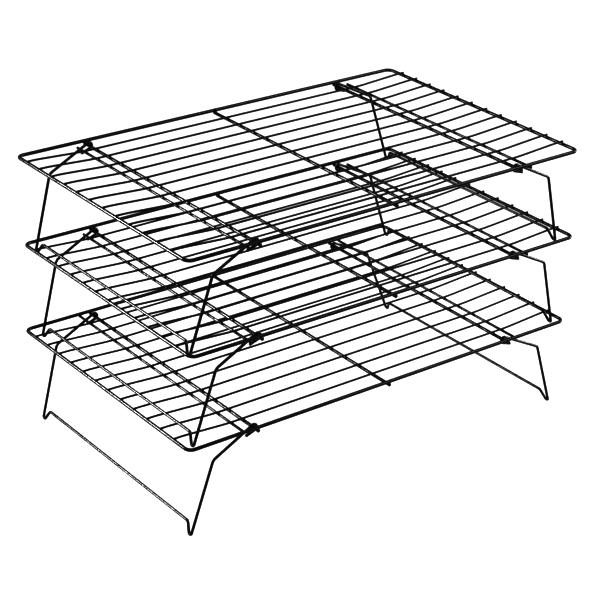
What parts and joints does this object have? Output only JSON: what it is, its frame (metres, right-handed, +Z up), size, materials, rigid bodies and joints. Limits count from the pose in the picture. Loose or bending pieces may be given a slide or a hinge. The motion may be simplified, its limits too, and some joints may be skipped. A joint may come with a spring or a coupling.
{
  "type": "stacking wire cooling rack",
  "caption": "Stack of wire cooling racks for baking: flat welded wire grids, each on folding wire legs, standing one on another.",
  "frame": {"origin": "on the floor under the middle of the stack", "axes": "+X along the racks' length, +Y to the rear, +Z up"},
  "size_m": [0.409, 0.26, 0.2529],
  "materials": {
    "coated_wire": "satin black non-stick coating"
  },
  "bodies": {
    "bottom_grid": {"bottom_frame_loop": "coated_wire", "bottom_long_wire_01": "coated_wire", "bottom_long_wire_02": "coated_wire", "bottom_long_wire_03": "coated_wire", "bottom_long_wire_04": "coated_wire", "bottom_long_wire_05": "coated_wire", "bottom_long_wire_06": "coated_wire", "bottom_long_wire_07": "coated_wire", "bottom_long_wire_08": "coated_wire", "bottom_long_wire_09": "coated_wire", "bottom_long_wire_10": "coated_wire", "bottom_long_wire_11": "coated_wire", "bottom_long_wire_12": "coated_wire", "bottom_centre_wire": "coated_wire", "bottom_left_hinge_wire": "coated_wire", "bottom_left_stop_wire": "coated_wire", "bottom_right_hinge_wire": "coated_wire", "bottom_right_stop_wire": "coated_wire"},
    "bottom_left_leg": {"bottom_left_leg": "coated_wire"},
    "bottom_right_leg": {"bottom_right_leg": "coated_wire"},
    "middle_grid": {"middle_frame_loop": "coated_wire", "middle_long_wire_01": "coated_wire", "middle_long_wire_02": "coated_wire", "middle_long_wire_03": "coated_wire", "middle_long_wire_04": "coated_wire", "middle_long_wire_05": "coated_wire", "middle_long_wire_06": "coated_wire", "middle_long_wire_07": "coated_wire", "middle_long_wire_08": "coated_wire", "middle_long_wire_09": "coated_wire", "middle_long_wire_10": "coated_wire", "middle_long_wire_11": "coated_wire", "middle_long_wire_12": "coated_wire", "middle_centre_wire": "coated_wire", "middle_left_hinge_wire": "coated_wire", "middle_left_stop_wire": "coated_wire", "middle_right_hinge_wire": "coated_wire", "middle_right_stop_wire": "coated_wire"},
    "middle_left_leg": {"middle_left_leg": "coated_wire"},
    "middle_right_leg": {"middle_right_leg": "coated_wire"},
    "top_grid": {"top_frame_loop": "coated_wire", "top_long_wire_01": "coated_wire", "top_long_wire_02": "coated_wire", "top_long_wire_03": "coated_wire", "top_long_wire_04": "coated_wire", "top_long_wire_05": "coated_wire", "top_long_wire_06": "coated_wire", "top_long_wire_07": "coated_wire", "top_long_wire_08": "coated_wire", "top_long_wire_09": "coated_wire", "top_long_wire_10": "coated_wire", "top_long_wire_11": "coated_wire", "top_long_wire_12": "coated_wire", "top_centre_wire": "coated_wire", "top_left_hinge_wire": "coated_wire", "top_left_stop_wire": "coated_wire", "top_right_hinge_wire": "coated_wire", "top_right_stop_wire": "coated_wire"},
    "top_left_leg": {"top_left_leg": "coated_wire"},
    "top_right_leg": {"top_right_leg": "coated_wire"}
  },
  "joints": [
    {"name": "bottom_left_leg_fold", "type": "hinge", "parent": "bottom_grid", "child": "bottom_left_leg", "pos_m": [-0.1367, 0, 0.08403], "axis": [0, -1, 0], "range_deg": [0, 125]},
    {"name": "bottom_right_leg_fold", "type": "hinge", "parent": "bottom_grid", "child": "bottom_right_leg", "pos_m": [0.1337, 0, 0.08403], "axis": [0, 1, 0], "range_deg": [0, 125]},
    {"name": "middle_left_leg_fold", "type": "hinge", "parent": "middle_grid", "child": "middle_left_leg", "pos_m": [-0.1337, 0, 0.16551], "axis": [0, -1, 0], "range_deg": [0, 125]},
    {"name": "middle_right_leg_fold", "type": "hinge", "parent": "middle_grid", "child": "middle_right_leg", "pos_m": [0.1367, 0, 0.16551], "axis": [0, 1, 0], "range_deg": [0, 125]},
    {"name": "top_left_leg_fold", "type": "hinge", "parent": "top_grid", "child": "top_left_leg", "pos_m": [-0.1367, 0, 0.247], "axis": [0, -1, 0], "range_deg": [0, 125]},
    {"name": "top_right_leg_fold", "type": "hinge", "parent": "top_grid", "child": "top_right_leg", "pos_m": [0.1337, 0, 0.247], "axis": [0, 1, 0], "range_deg": [0, 125]},
    {"name": "middle_tier_lift", "type": "slide", "parent": "bottom_grid", "child": "middle_grid", "axis": [0, 0, 1], "range_m": [0, 0.15]},
    {"name": "top_tier_lift", "type": "slide", "parent": "middle_grid", "child": "top_grid", "axis": [0, 0, 1], "range_m": [0, 0.15]}
  ],
  "couplings": [
    {"joint": "middle_left_leg_fold", "follows": "middle_tier_lift", "rad_per_m": 14.53},
    {"joint": "middle_right_leg_fold", "follows": "middle_tier_lift", "rad_per_m": 14.53},
    {"joint": "top_left_leg_fold", "follows": "top_tier_lift", "rad_per_m": 14.53},
    {"joint": "top_right_leg_fold", "follows": "top_tier_lift", "rad_per_m": 14.53}
  ]
}
